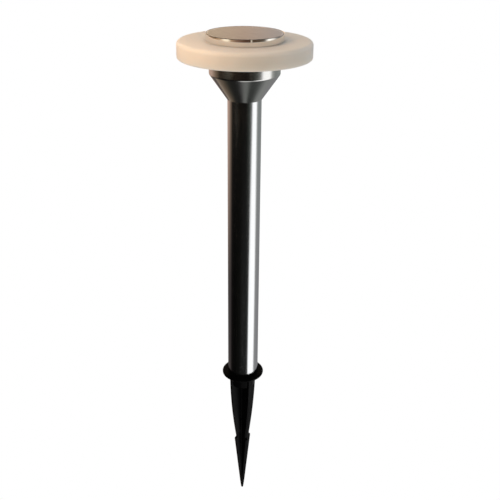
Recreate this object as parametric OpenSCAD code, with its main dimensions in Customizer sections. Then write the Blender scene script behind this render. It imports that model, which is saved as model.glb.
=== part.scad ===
// Solar garden light: a round head on a steel pole, held by a plastic ground spike.
// Millimetres, +Z up. The origin is on the light's axis, on the underside of the spike's flange,
// which is level with the soil when the light stands in the ground.

/* [Pole] */
// Outside diameter of the pole tube and of the funnel's foot
pole_d = 32; // [32:0.5:34]
// Wall thickness of the pole tube
pole_wall = 1; // [0.8:0.1:1]
// Length of the pole tube, from the spike's flange to the funnel
pole_l = 300; // [200:5:600]

/* [Ground spike] */
// Diameter of the flange that stops on the soil
flange_d = 44; // [40:1:60]
// Thickness of the flange
flange_t = 3; // [3:0.5:5]
// Length of the spike below the flange
spike_l = 163; // [150:1:200]
// Width across two fins just under the flange
fin_w = 30.6; // [29:0.2:32]
// Thickness of a fin
fin_t = 3; // [2:0.5:4]
// Depth of the barbs' tips below the flange
barb_depth = 88; // [78:1:100]
// Length of the plug that carries the pole
plug_l = 38; // [30:1:60]

/* [Funnel collar] */
// Diameter of the upright band at the top of the funnel
band_d = 66; // [66:0.5:70]
// Height of the upright band
band_h = 14.5; // [14:0.5:20]
// Height of the cone between the pole and the band
cone_h = 23.5; // [20:0.5:30]
// How far the funnel's foot stands proud of the pole
foot_lip = 0.5; // [0:0.1:1]
// Thickness of the spun sheet
sheet_t = 1; // [0.8:0.1:1]

/* [Frosted disc] */
// Diameter of the disc
disc_d = 124; // [100:1:160]
// Thickness of the disc
disc_t = 15.5; // [15:0.5:18]
// Radius of the disc's upper rim
disc_top_r = 3.5; // [1:0.5:5]
// Radius of the disc's lower rim
disc_low_r = 1.5; // [1:0.5:4]

/* [Cap and solar panel] */
// Diameter of the steel cap ring
cap_d = 72; // [72:1:80]
// Height of the cap ring
cap_h = 6.5; // [6.5:0.5:10]
// Number of film cells side by side in the panel
cell_count = 6; // [4:1:8]
// Number of light-emitting diodes round the drum
led_count = 6; // [5:1:8]

/* [Joints] */
// Radial clearance of the push fits
fit_gap = 0.07; // [0.05:0.01:0.1]
// Turn that frees the battery cap's bayonet, in degrees
bayonet_turn = 40; // [30:1:45]
// Travel of the on and off switch
switch_travel = 2; // [1:0.1:2]

/* [Hidden] */
$fn = 96;

// How far a cutting shape runs past the face it cuts
cut = 1;
// Straight pieces that stand for a quarter round
arc_steps = 6;

// Heights on the axis, from the soil up
pole_z = flange_t;
foot_z = pole_z + pole_l;
band_z = foot_z + cone_h;
disc_z = band_z + band_h;
cap_z = disc_z + disc_t;
top_z = cap_z + cap_h;

// Radii that the parts share, and the small break on a cut steel edge
deburr = 0.2;
pole_r = pole_d / 2;
bore_r = pole_r - pole_wall;
plug_r = bore_r - fit_gap;
plug_relief = 1;
plug_core_r = plug_r - plug_relief;
band_r = band_d / 2;
cap_r = cap_d / 2;

// Ground spike
flange_edge_r = 1.3;
hub_r = 13.2;
hub_low_r = 12.4;
hub_h = 14;
fin_waist_r = 7.6;
barb_r = 9.6;
barb_rise = 2.6;
barb_land = 1;
spike_tip_r = 1.1;
fin_curve = 1.85;
fin_steps = 8;
plug_land_h = 6;
plug_step = 1;
plug_hollow_r = 11.3;
plug_hollow_taper = 0.5;
plug_floor_t = 3;
plug_lead = 1.2;

// Head spigot, which plugs into the top of the pole
spigot_l = 28;
spigot_bore_r = 10.2;
spigot_neck_r = bore_r - 0.4;
spigot_neck_h = 0.6;
spigot_land_h = 8.5;

// Plate welded across the collar, and the ring that the disc sits on
collar_edge_r = 2.5;
brim_edge = 0.3;
band_inside_rise = 0.4;
plate_t = 1.2;
plate_z = band_z + 1;
seat_t = 1;
gasket_t = 0.8;
weld_gap = 0.05;
gasket_gap = 0.1;

// Clear cup through the disc
cup_floor_z = plate_z + plate_t;
cup_floor_t = 1.5;
cup_r = 28.5;
cup_wall = 1.3;
cup_bore_r = cup_r - cup_wall;
cup_flange_r = 32.7;
cup_flange_t = 1.2;
centre_hole_r = 10.2;
disc_gap = 0.3;
disc_bore_r = cup_r + disc_gap;
rebate_r = cup_flange_r + disc_gap;
rebate_z = cap_z - cup_flange_t - gasket_t;

// Screws that hold the cup, the plate and the spigot together
screw_r = 1.1;
screw_l = 11;
screw_head_r = 2.1;
screw_head_h = 1.4;
screw_slot = 0.5;
spigot_screw_ring_r = 12.4;
spigot_screw_angles = [90, 210, 330];
pilot_gap = 0.05;
hole_gap = 0.2;

// Cap ring and panel
cap_wall = 1;
cap_edge_r = 0.6;
cap_foot_edge = 0.3;
cap_floor_t = 1;
cap_floor_r = 30.5;
panel_gap = 0.1;
panel_r = cap_r - cap_wall - panel_gap;
glass_bevel = 0.2;
glass_t = 2;
cell_t = 0.3;
board_t = 1;
glass_z = top_z - glass_t;
cell_z = glass_z - cell_t;
panel_board_z = cell_z - board_t;
cell_field_r = 33.4;
cell_gap = 0.4;
busbar_w = 1.2;
busbar_x = cell_field_r - busbar_w + 0.1;
busbar_end_gap = 0.3;

// Module deck, under the panel
deck_z = cap_z + cap_floor_t;
module_r = cup_bore_r - 0.3;
hub_z = cap_z - 5;
deck_pocket_r = 14.8;
deck_pocket_top = deck_z - 0.5;
deck_chamfer = 0.5;
pillar_root = 1;
oring_z = hub_z + 2.5;
oring_r = 1;
oring_ring_r = cup_bore_r - 0.1 - oring_r;
groove_r = oring_ring_r - oring_r;
groove_h = 2.3;
wire_hole_x = 9;
wire_hole_r = 3;

// Battery tray, pillars and battery tube
tray_clear = 3.3;
tray_z = cup_floor_z + cup_floor_t + tray_clear;
tray_t = 2.5;
tray_top = tray_z + tray_t;
pillar_r = 2.2;
pillar_ring_r = 23.9;
pillar_angles = [30, 150, 270];
post_r = 2;
post_ring_r = 16;
post_angles = [90, 210, 330];
board_screw_l = 5;
board_screw_head_h = 1.2;

cell_r = 7.25;
cell_l = 50.5;
nub_r = 2.75;
nub_h = 1.3;
tube_bore_r = 7.6;
tube_r = 9;
contact_t = 0.4;
touch_gap = 0.05;
tube_head = 1;
tube_top = tray_z + tube_head;
cell_top = tube_top - contact_t - touch_gap;
cell_low = cell_top - cell_l;
spring_h = 6.85;
contact_disc_z = cell_low - touch_gap - spring_h - contact_t;
tube_low = contact_disc_z + contact_t + 0.35;
strip_w = 3;
strip_t = 0.3;
strip_x = 8.55;
tab_x = 3.5;
tab_reach = 2.5;
slit_gap = 0.15;
positive_r = 4.6;
contact_disc_r = 8.8;

// Battery cap and its bayonet
cap_gap = 0.1;
bcap_r = 9.85;
bcap_bore_r = tube_r + cap_gap;
bcap_floor_t = 2.5;
bcap_h = 9;
bcap_z = contact_disc_z - bcap_floor_t;
pin_r = 0.8;
pin_reach = 9.6;
pin_z = tube_low + 3;
pin_angles = [90, 270];
slot_gap = 0.15;
coin_slot_w = 1.6;
coin_slot_h = 1.2;

// Light-emitting diodes, drum and control board
pcb_clear = 5.1;
pcb_z = tray_top + pcb_clear;
pcb_t = 1.2;
pcb_r = 19;
pcb_top = pcb_z + pcb_t;
drum_flat = 17;
drum_bore_r = 14.8;
drum_gap = 1.4;
drum_z = pcb_top + drum_gap;
led_board_t = 0.4;
led_board_h = 6;
led_z = (drum_z + hub_z) / 2;
led_w = 3.5;
led_h = 2.8;
led_t = 1.4;
phosphor_w = 2.4;
phosphor_h = 1.8;
phosphor_t = 0.4;

// Parts on the control board: where each one stands on the board, and its size
chip_at = [-8, -1.5];
chip_size = [5, 4, 1.5];
chip_stand = 0.1;
leg_size = [0.4, 1, 0.7];
leg_pitch = 1.27;
inductor_at = [1.5, 6.8];
inductor_r = 3.2;
inductor_core_r = 2.4;
inductor_h = 5.2;
inductor_flange_t = 1;
inductor_slope = 0.2;
capacitor_at = [1.5, -7.5];
capacitor_r = 2.5;
capacitor_h = 9.2;
capacitor_groove_z = 1.4;
capacitor_groove = 0.4;
capacitor_rim = 0.7;
resistors_at = [-5, 1.2];
resistor_size = [1.2, 2, 0.5];
resistor_pitch = 2.4;

// Slide switch
switch_y = -18.6;
switch_size = [8.6, 4.4, 3.6];
switch_wall = 0.6;
switch_lug = [0.8, 0.5, pcb_z - tray_top - switch_size.z];
slider_size = [4.9, 2.7, 1.8];
knob_size = [1.8, 1.6];
knob_drop = 1.3;
slider_x = -switch_travel / 2;

// Wires
wire_r = 0.5;
led_wire_r = 0.45;
wire_sides = 8;
end_straight = 0.3;

// Points along a round from angle a to angle b about (x, z)
function arc(x, z, r, a, b) = [
    for (i = [0 : arc_steps]) let (t = a + (b - a) * i / arc_steps) [x + r * cos(t), z + r * sin(t)]
];

// Section of a ring with square corners
module ring(outer, inner, z, h) {
    translate([0, 0, z]) difference() {
        cylinder(r = outer, h = h);
        translate([0, 0, -cut]) cylinder(r = inner, h = h + 2 * cut);
    }
}

// Copies placed on a circle at the given angles
module at_angles(angles, r) {
    for (a = angles) rotate([0, 0, a]) translate([r, 0, 0]) children();
}

// Cross-head screw pointing down, its head standing on z = 0
module screw(shank_l, head_h) {
    difference() {
        union() {
            translate([0, 0, -shank_l]) cylinder(r = screw_r, h = shank_l + head_h / 2);
            cylinder(r1 = screw_head_r, r2 = screw_head_r - 0.4, h = head_h);
        }
        for (a = [0, 90]) rotate([0, 0, a])
            translate([-screw_head_r * 0.6, -screw_slot / 2, head_h / 2])
                cube([screw_head_r * 1.2, screw_slot, head_h]);
    }
}

// Directions and rings of a tube swept along a list of points
function unit(v) = v / norm(v);
function heading(p, i) = unit(p[min(i + 1, len(p) - 1)] - p[max(i - 1, 0)]);
function side(d) = unit(cross(d, abs(d.y) < 0.9 ? [0, 1, 0] : [1, 0, 0]));
function ring_points(p, i, r, n) = let (d = heading(p, i), u = side(d), v = cross(d, u))
    [for (k = [0 : n - 1]) p[i] + r * (cos(360 * k / n) * u + sin(360 * k / n) * v)];

// Tube of radius r and n sides along the points p
module swept_tube(p, r, n) {
    rings = len(p);
    points = [for (i = [0 : rings - 1]) each ring_points(p, i, r, n)];
    walls = [for (i = [0 : rings - 2]) for (k = [0 : n - 1]) let (
        a = i * n + k, b = (i + 1) * n + k, c = (i + 1) * n + (k + 1) % n, d = i * n + (k + 1) % n
    ) each [[a, b, c], [a, c, d]]];
    low_end = [for (k = [0 : n - 1]) k];
    high_end = [for (k = [n - 1 : -1 : 0]) (rings - 1) * n + k];
    polyhedron(points = points, faces = concat(walls, [low_end, high_end]));
}

// Smooth curve from a to b whose ends head along da and db, with a short straight at each end
function curve_point(a, b, da, db, t) =
    a * pow(1 - t, 3) + (a + da) * 3 * t * pow(1 - t, 2) + (b - db) * 3 * t * t * (1 - t) + b * pow(t, 3);
function bend(a, b, da, db, n) = let (p = a + end_straight * unit(da), q = b - end_straight * unit(db))
    concat([a], [for (i = [0 : n]) curve_point(p, q, da, db, i / n)], [b]);

// ---------------------------------------------------------------- ground spike

// Half width of a fin at a depth between the flange and the waist above the barb
function fin_half(depth) = let (t = depth / (barb_depth - barb_rise))
    fin_w / 2 - (fin_w / 2 - fin_waist_r) * pow(t, fin_curve);

fin_side = concat(
    [[fin_w / 2, flange_t / 2]],
    [for (i = [0 : fin_steps]) let (d = (barb_depth - barb_rise) * i / fin_steps) [fin_half(d), -d]],
    [[barb_r, -barb_depth], [barb_r, -barb_depth - barb_land], [spike_tip_r, -spike_l]]
);

module fin_plate() {
    mirrored = [for (i = [len(fin_side) - 1 : -1 : 0]) [-fin_side[i].x, fin_side[i].y]];
    rotate([90, 0, 0]) linear_extrude(fin_t, center = true)
        polygon(concat(fin_side, mirrored));
}

// Blind hollow plug with two close-fitting lands, drawn from z = 0
module plug() {
    top = plug_l;
    rotate_extrude() polygon([
        [0, -flange_t / 2], [plug_core_r, -flange_t / 2], [plug_core_r, 0], [plug_r, 0],
        [plug_r, plug_land_h], [plug_core_r, plug_land_h + plug_step],
        [plug_core_r, top - plug_land_h - plug_lead - plug_step], [plug_r, top - plug_land_h - plug_lead],
        [plug_r, top - plug_lead], [plug_r - plug_lead, top],
        [plug_hollow_r, top], [plug_hollow_r - plug_hollow_taper, plug_floor_t], [0, plug_floor_t]
    ]);
}

module ground_spike() {
    e = flange_edge_r;
    color("#1b1b1c") union() {
        rotate_extrude() polygon(concat(
            [[0, 0]],
            arc(flange_d / 2 - e, e, e, -90, 0),
            arc(flange_d / 2 - e, flange_t - e, e, 0, 90),
            [[0, flange_t]]
        ));
        translate([0, 0, flange_t]) plug();
        translate([0, 0, -hub_h]) cylinder(r1 = hub_low_r, r2 = hub_r, h = hub_h + flange_t / 2);
        fin_plate();
        rotate([0, 0, 90]) fin_plate();
    }
}

// ---------------------------------------------------------------- pole

module pole_tube() {
    color("#8d8f90") translate([0, 0, pole_z]) rotate_extrude() polygon([
        [bore_r, 0], [pole_r - deburr, 0], [pole_r, deburr],
        [pole_r, pole_l - deburr], [pole_r - deburr, pole_l], [bore_r, pole_l]
    ]);
}

// ---------------------------------------------------------------- head

module funnel_collar() {
    // the cone's slope, and where the rounded edge under the band starts and ends
    foot_r = pole_r + foot_lip;
    slope = atan((band_r - foot_r) / cone_h);
    edge_z = band_z + collar_edge_r * tan(slope / 2);
    color("#85878a") rotate_extrude() polygon(concat(
        [[pole_r - sheet_t, foot_z], [foot_r, foot_z]],
        arc(band_r - collar_edge_r, edge_z, collar_edge_r, -slope, 0),
        [[band_r, disc_z - brim_edge], [band_r - brim_edge, disc_z], [band_r - sheet_t, disc_z],
         [band_r - sheet_t, band_z + band_inside_rise]]
    ));
}

module collar_plate() {
    color("#a3a5a6") difference() {
        ring(band_r - sheet_t - weld_gap, centre_hole_r, plate_z, plate_t);
        at_angles(spigot_screw_angles, spigot_screw_ring_r)
            translate([0, 0, plate_z - cut]) cylinder(r = screw_r + hole_gap, h = plate_t + 2 * cut);
    }
}

module seat_ring() {
    color("#a3a5a6") ring(band_r - sheet_t - weld_gap, disc_bore_r, disc_z - gasket_t - seat_t, seat_t);
}

module head_spigot() {
    low = foot_z - spigot_l;
    color("#202021") difference() {
        rotate_extrude() polygon([
            [spigot_bore_r, low], [plug_r - plug_lead, low], [plug_r, low + plug_lead],
            [plug_r, low + spigot_land_h], [plug_core_r, low + spigot_land_h + plug_step],
            [plug_core_r, foot_z - spigot_land_h - plug_step], [plug_r, foot_z - spigot_land_h],
            [plug_r, foot_z - spigot_neck_h], [spigot_neck_r, foot_z], [spigot_neck_r, plate_z],
            [spigot_bore_r, plate_z]
        ]);
        at_angles(spigot_screw_angles, spigot_screw_ring_r)
            translate([0, 0, plate_z - screw_l]) cylinder(r = screw_r + pilot_gap, h = screw_l + cut);
    }
}

module spigot_screws() {
    color("#b9bbbc") at_angles(spigot_screw_angles, spigot_screw_ring_r)
        translate([0, 0, cup_floor_z + cup_floor_t]) screw(screw_l, screw_head_h);
}

module disc_gasket() {
    color("#2a2a2a") ring(band_r - sheet_t - gasket_gap, disc_bore_r + gasket_gap,
        disc_z - gasket_t, gasket_t);
}

module frosted_disc() {
    r = disc_d / 2;
    color("#e4d6c4") rotate_extrude() polygon(concat(
        [[disc_bore_r, disc_z]],
        arc(r - disc_low_r, disc_z + disc_low_r, disc_low_r, -90, 0),
        arc(r - disc_top_r, cap_z - disc_top_r, disc_top_r, 0, 90),
        [[rebate_r, cap_z], [rebate_r, rebate_z], [disc_bore_r, rebate_z]]
    ));
}

module cup_washer() {
    color("#c9cccc") ring(cup_flange_r, disc_bore_r + gasket_gap, rebate_z, gasket_t);
}

module light_cup() {
    color("#dfe9ec") difference() {
        rotate_extrude() polygon([
            [centre_hole_r, cup_floor_z], [cup_r, cup_floor_z], [cup_r, cap_z - cup_flange_t],
            [cup_flange_r, cap_z - cup_flange_t], [cup_flange_r, cap_z], [cup_bore_r, cap_z],
            [cup_bore_r, cup_floor_z + cup_floor_t], [centre_hole_r, cup_floor_z + cup_floor_t]
        ]);
        at_angles(spigot_screw_angles, spigot_screw_ring_r)
            translate([0, 0, cup_floor_z - cut])
                cylinder(r = screw_r + hole_gap, h = cup_floor_t + 2 * cut);
    }
}

// ---------------------------------------------------------------- cap and solar panel

module cap_ring() {
    e = cap_edge_r;
    inner = cap_r - cap_wall;
    color("#b7afa6") rotate_extrude() polygon(concat(
        [[cap_floor_r, cap_z], [cap_r - cap_foot_edge, cap_z], [cap_r, cap_z + cap_foot_edge]],
        arc(cap_r - e, top_z - e, e, 0, 90),
        [[inner, top_z], [inner, cap_z + cap_floor_t], [cap_floor_r, cap_z + cap_floor_t]]
    ));
}

module panel_glass() {
    color("#6b5a50") translate([0, 0, glass_z]) rotate_extrude() polygon([
        [0, 0], [panel_r, 0], [panel_r, glass_t - glass_bevel], [panel_r - glass_bevel, glass_t], [0, glass_t]
    ]);
}

// Parallel strips of film cell, cut to the round panel
module cell_strips() {
    pitch = 2 * (cell_field_r - busbar_w) / cell_count;
    color("#3a2420") translate([0, 0, cell_z]) for (i = [0 : cell_count - 1])
        intersection() {
            cylinder(r = cell_field_r, h = cell_t);
            translate([(i - cell_count / 2) * pitch + cell_gap / 2, -cell_field_r - cut, -cut])
                cube([pitch - cell_gap, 2 * (cell_field_r + cut), cell_t + 2 * cut]);
        }
}

// Metal bars along the two outer strips
module cell_busbars() {
    half = sqrt(pow(panel_r - busbar_end_gap, 2) - pow(busbar_x + busbar_w, 2));
    color("#b8bcbf") translate([0, 0, cell_z]) for (s = [-1, 1])
        translate([s > 0 ? busbar_x : -busbar_x - busbar_w, -half, 0]) cube([busbar_w, 2 * half, cell_t]);
}

module panel_board() {
    color("#2d2c2b") translate([0, 0, panel_board_z]) cylinder(r = panel_r, h = board_t);
}

module module_deck() {
    color("#ecebe6") difference() {
        union() {
            rotate_extrude() polygon([
                [0, hub_z], [module_r - deck_chamfer, hub_z], [module_r, hub_z + deck_chamfer],
                [module_r, oring_z - groove_h / 2], [groove_r, oring_z - groove_h / 2],
                [groove_r, oring_z + groove_h / 2], [module_r, oring_z + groove_h / 2],
                [module_r, deck_z], [panel_r, deck_z], [panel_r, panel_board_z], [0, panel_board_z]
            ]);
            at_angles(pillar_angles, pillar_ring_r)
                translate([0, 0, tray_top]) cylinder(r = pillar_r, h = hub_z - tray_top + pillar_root);
        }
        translate([0, 0, hub_z - cut]) cylinder(r = deck_pocket_r, h = deck_pocket_top - hub_z + cut);
        translate([wire_hole_x, 0, hub_z]) cylinder(r = wire_hole_r, h = panel_board_z - hub_z + cut);
        at_angles(pillar_angles, pillar_ring_r)
            translate([0, 0, tray_top - cut]) cylinder(r = screw_r + pilot_gap, h = screw_l + cut);
    }
}

module module_oring() {
    color("#1c1c1c") translate([0, 0, oring_z]) rotate_extrude()
        translate([oring_ring_r, 0]) circle(r = oring_r, $fn = 32);
}

// ---------------------------------------------------------------- lamp and electronics

// Upright prism with one flat for each diode
module led_prism(flat, z, h) {
    translate([0, 0, z]) rotate([0, 0, 180 / led_count])
        cylinder(r = flat / cos(180 / led_count), h = h, $fn = led_count);
}

module led_drum() {
    color("#f1f0ec") difference() {
        led_prism(drum_flat, drum_z, hub_z - drum_z);
        translate([0, 0, drum_z - cut]) cylinder(r = drum_bore_r, h = hub_z - drum_z + 2 * cut);
    }
}

module led_board() {
    low = led_z - led_board_h / 2;
    color("#e8e6da") difference() {
        led_prism(drum_flat + led_board_t, low, led_board_h);
        led_prism(drum_flat, low - cut, led_board_h + 2 * cut);
    }
}

// A block on each flat of the drum, starting at the given distance from the axis
module on_flats(start, depth, w, h) {
    for (i = [0 : led_count - 1]) rotate([0, 0, 360 * i / led_count])
        translate([start, -w / 2, led_z - h / 2]) cube([depth, w, h]);
}

module led_packages() {
    start = drum_flat + led_board_t;
    color("#f4f3ef") difference() {
        on_flats(start, led_t, led_w, led_h);
        on_flats(start + led_t - phosphor_t, phosphor_t + cut, phosphor_w, phosphor_h);
    }
}

module led_phosphors() {
    color("#e6c24a") on_flats(drum_flat + led_board_t + led_t - phosphor_t, phosphor_t,
        phosphor_w, phosphor_h);
}

module control_board() {
    color("#1f5c3a") difference() {
        translate([0, 0, pcb_z]) cylinder(r = pcb_r, h = pcb_t);
        at_angles(post_angles, post_ring_r)
            translate([0, 0, pcb_z - cut]) cylinder(r = screw_r + hole_gap, h = pcb_t + 2 * cut);
    }
}

module board_screws() {
    color("#b9bbbc") at_angles(post_angles, post_ring_r)
        translate([0, 0, pcb_top]) screw(board_screw_l, board_screw_head_h);
}

module driver_chip() {
    color("#17181a") translate([chip_at.x, chip_at.y, pcb_top + chip_stand])
        translate([-chip_size.x / 2, -chip_size.y / 2, 0]) cube(chip_size);
}

module chip_legs() {
    color("#c6c8ca") for (i = [-1.5 : 1 : 1.5]) for (s = [-1, 1])
        translate([chip_at.x + i * leg_pitch - leg_size.x / 2,
            chip_at.y + (s > 0 ? chip_size.y / 2 : -chip_size.y / 2 - leg_size.y), pcb_top])
            cube(leg_size);
}

// Drum core with a flange at each end
module inductor() {
    low = inductor_flange_t;
    high = inductor_h - inductor_flange_t;
    color("#3b3d40") translate([inductor_at.x, inductor_at.y, pcb_top]) rotate_extrude() polygon([
        [0, 0], [inductor_r, 0], [inductor_r, low], [inductor_core_r, low + inductor_slope],
        [inductor_core_r, high - inductor_slope], [inductor_r, high], [inductor_r, inductor_h],
        [0, inductor_h]
    ]);
}

// Can with a crimped groove near its foot and a rim round its sunk top
module capacitor() {
    r = capacitor_r;
    g = capacitor_groove;
    rim = capacitor_rim;
    color("#25324a") translate([capacitor_at.x, capacitor_at.y, pcb_top]) rotate_extrude() polygon([
        [0, 0], [r, 0], [r, capacitor_groove_z - g], [r - g / 2, capacitor_groove_z],
        [r, capacitor_groove_z + g], [r, capacitor_h - g], [r - rim / 2, capacitor_h],
        [r - rim, capacitor_h], [r - rim, capacitor_h - g / 2], [0, capacitor_h - g / 2]
    ]);
}

module resistors() {
    color("#2b2b2d") for (i = [0 : 3])
        translate([resistors_at.x + i * resistor_pitch, resistors_at.y, pcb_top]) cube(resistor_size);
}

// ---------------------------------------------------------------- battery and tray

module battery_tray() {
    tab_slot = [contact_t + 2 * slit_gap, strip_w + 2 * slit_gap];
    color("#232324") difference() {
        union() {
            translate([0, 0, tray_z]) cylinder(r = module_r, h = tray_t);
            translate([0, 0, tube_low]) cylinder(r = tube_r, h = tray_z - tube_low + tube_head);
            at_angles(post_angles, post_ring_r)
                translate([0, 0, tray_top - 1]) cylinder(r = post_r, h = pcb_z - tray_top + 1);
            for (a = pin_angles) rotate([0, 0, a]) translate([tube_r - 0.7, 0, pin_z])
                rotate([0, 90, 0]) cylinder(r = pin_r, h = pin_reach - tube_r + 0.7);
        }
        translate([0, 0, tube_low - cut]) cylinder(r = tube_bore_r, h = tube_top - tube_low + cut);
        at_angles(pillar_angles, pillar_ring_r)
            translate([0, 0, tray_z - cut]) cylinder(r = screw_r + hole_gap, h = tray_t + 2 * cut);
        at_angles(post_angles, post_ring_r) translate([0, 0, pcb_z - board_screw_l + pcb_t])
            cylinder(r = screw_r + pilot_gap, h = board_screw_l);
        // slit for the positive tab, groove and slit for the negative strip
        translate([-tab_x - tab_slot.x / 2, -tab_slot.y / 2, tube_top - cut])
            cube([tab_slot.x, tab_slot.y, tray_t + cut]);
        translate([strip_x - 0.05, -strip_w / 2 - 0.1, tube_low - cut])
            cube([tube_r - strip_x + 0.3, strip_w + 0.2, tray_top - tube_low + 2 * cut]);
        // slot for the switch knob
        translate([0, switch_y, tray_z + tray_t / 2])
            cube([knob_size.x + switch_travel + 0.6, knob_size.y + 0.6, tray_t + 2 * cut], center = true);
    }
}

module tray_screws() {
    color("#b9bbbc") at_angles(pillar_angles, pillar_ring_r)
        translate([0, 0, tray_z]) rotate([180, 0, 0]) screw(screw_l, screw_head_h);
}

module battery_cell() {
    shoulder = cell_top - nub_h;
    color("#7c8f46") rotate_extrude() polygon([
        [0, cell_low], [cell_r - 0.5, cell_low], [cell_r, cell_low + 0.5],
        [cell_r, shoulder - 3.2], [cell_r - 0.35, shoulder - 2.7], [cell_r, shoulder - 2.2],
        [cell_r, shoulder - 0.4], [cell_r - 0.4, shoulder], [nub_r, shoulder],
        [nub_r, cell_top - 0.3], [nub_r - 0.3, cell_top], [0, cell_top]
    ]);
}

module positive_contact() {
    color("#c4c6c8") union() {
        translate([0, 0, tube_top - contact_t]) cylinder(r = positive_r, h = contact_t);
        translate([-tab_x - contact_t / 2, -strip_w / 2, tube_top - contact_t])
            cube([contact_t, strip_w, tray_top + tab_reach - tube_top + contact_t]);
    }
}

module negative_strip() {
    foot_in = tube_bore_r + 0.1;
    color("#c4c6c8") union() {
        translate([strip_x, -strip_w / 2, tube_low - strip_t])
            cube([strip_t, strip_w, tray_top + tab_reach - tube_low + strip_t]);
        translate([foot_in, -strip_w / 2, tube_low - strip_t])
            cube([strip_x + strip_t - foot_in, strip_w, strip_t]);
    }
}

// Sector of a disc, used to cut a slot along a turn
module sector(r, from, to, z, h) {
    steps = 4;
    translate([0, 0, z]) linear_extrude(h) polygon(concat([[0, 0]],
        [for (i = [0 : steps]) let (a = from + (to - from) * i / steps) 1.2 * r * [cos(a), sin(a)]]));
}

module battery_cap() {
    slot_half = pin_r + slot_gap;
    slot_angle = asin(slot_half / bcap_bore_r);
    wall_z = contact_disc_z;
    color("#1e1e1f") difference() {
        translate([0, 0, bcap_z]) cylinder(r = bcap_r, h = bcap_h);
        translate([0, 0, wall_z]) cylinder(r = bcap_bore_r, h = bcap_h);
        // bayonet slots: a level run the length of the turn, and a way up to the cap's rim
        for (a = pin_angles) {
            difference() {
                sector(bcap_r, a - bayonet_turn - slot_angle, a + slot_angle,
                    pin_z - slot_half, 2 * slot_half);
                translate([0, 0, pin_z - slot_half - cut])
                    cylinder(r = bcap_bore_r - 0.3, h = 2 * slot_half + 2 * cut);
            }
            rotate([0, 0, a - bayonet_turn])
                translate([bcap_bore_r - 0.3, -slot_half, pin_z - slot_half])
                    cube([2, 2 * slot_half, bcap_h]);
        }
        // slot for a coin
        translate([-bcap_r - cut, -coin_slot_w / 2, bcap_z - cut])
            cube([2 * (bcap_r + cut), coin_slot_w, coin_slot_h + cut]);
    }
}

module contact_disc() {
    color("#c4c6c8") translate([0, 0, contact_disc_z]) cylinder(r = contact_disc_r, h = contact_t);
}

// Conical spring, flat on the contact disc and narrow where it meets the cell
module battery_spring() {
    wire = 0.35;
    turns = 5;
    per_turn = 20;
    low = contact_disc_z + contact_t + wire;
    rise = spring_h - 2 * wire;
    points = [for (i = [0 : turns * per_turn]) let (
        t = i / (turns * per_turn),
        a = 360 * i / per_turn,
        r = 6.4 - 2.4 * t,
        z = low + rise * (t < 0.2 ? 0.25 * t : t < 0.8 ? 0.05 + (t - 0.2) * 1.5 : 0.95 + (t - 0.8) * 0.25)
    ) [r * cos(a), r * sin(a), z]];
    color("#c4c6c8") swept_tube(points, wire, wire_sides);
}

// ---------------------------------------------------------------- switch

module switch_frame() {
    inner = [switch_size.x - 2 * switch_wall, switch_size.y - 2 * switch_wall, switch_size.z - 1];
    color("#b3b6b8") translate([0, switch_y, tray_top]) union() {
        difference() {
            translate([-switch_size.x / 2, -switch_size.y / 2, 0]) cube(switch_size);
            translate([-inner.x / 2, -inner.y / 2, -cut]) cube([inner.x, inner.y, inner.z + cut]);
        }
        for (x = [-2.5, 0, 2.5])
            translate([x - switch_lug.x / 2, -switch_lug.y / 2, switch_size.z]) cube(switch_lug);
    }
}

module switch_slider() {
    low = tray_z - knob_drop;
    base = tray_top + 0.2;
    color("#d8d6d0") translate([slider_x, switch_y, 0]) union() {
        translate([-slider_size.x / 2, -slider_size.y / 2, base]) cube(slider_size);
        translate([-knob_size.x / 2, -knob_size.y / 2, low])
            cube([knob_size.x, knob_size.y, base - low + 0.5]);
    }
}

// ---------------------------------------------------------------- wires

module panel_wires() {
    for (s = [-1, 1]) color(s > 0 ? "#b3251f" : "#1b1b1b")
        swept_tube(bend([wire_hole_x, 1.1 * s, panel_board_z], [9.5, 3.5 * s, pcb_top],
            [0, 0, -6], [0, 0, -6], 14), wire_r, wire_sides);
}

// From the positive tab and from the negative strip, sideways and up to the board
module battery_wires() {
    starts = [-tab_x - contact_t / 2, strip_x + strip_t];
    ends = [[-8, 4, pcb_z], [13, -4, pcb_z]];
    for (i = [0, 1]) color(i == 0 ? "#b3251f" : "#1b1b1b")
        swept_tube(bend([starts[i], 0, tray_top + 1.4], ends[i],
            [i == 0 ? -2.6 : 2.6, 0, 0], [0, 0, 2.2], 12), wire_r, wire_sides);
}

module led_wires() {
    out_x = drum_flat + led_board_t + led_wire_r;
    for (s = [-1, 1]) color(s > 0 ? "#b3251f" : "#1b1b1b")
        swept_tube(bend([-13.5, 1.6 * s, pcb_top + 0.6], [-out_x, 2.6 * s, led_z - led_board_h / 2 + 0.4],
            [-4.5, 0, 0], [0, 0, 1.4], 12), led_wire_r, wire_sides);
}

ground_spike();
pole_tube();
funnel_collar();
collar_plate();
seat_ring();
head_spigot();
spigot_screws();
disc_gasket();
frosted_disc();
cup_washer();
light_cup();
cap_ring();
panel_glass();
cell_strips();
cell_busbars();
panel_board();
module_deck();
module_oring();
led_drum();
led_board();
led_packages();
led_phosphors();
control_board();
board_screws();
driver_chip();
chip_legs();
inductor();
capacitor();
resistors();
battery_tray();
tray_screws();
battery_cell();
positive_contact();
negative_strip();
battery_cap();
contact_disc();
battery_spring();
switch_frame();
switch_slider();
panel_wires();
battery_wires();
led_wires();
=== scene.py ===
"""Looks of a solar garden light, piece by piece in the order in which it is put together.

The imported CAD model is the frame. Every object is in metres, +Z up, with the origin on the light's
axis at soil level. Sizes below are in millimetres, and mm turns them into metres.
"""

import math

import bmesh
import bpy
import numpy as np
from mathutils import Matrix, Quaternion, Vector


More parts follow.
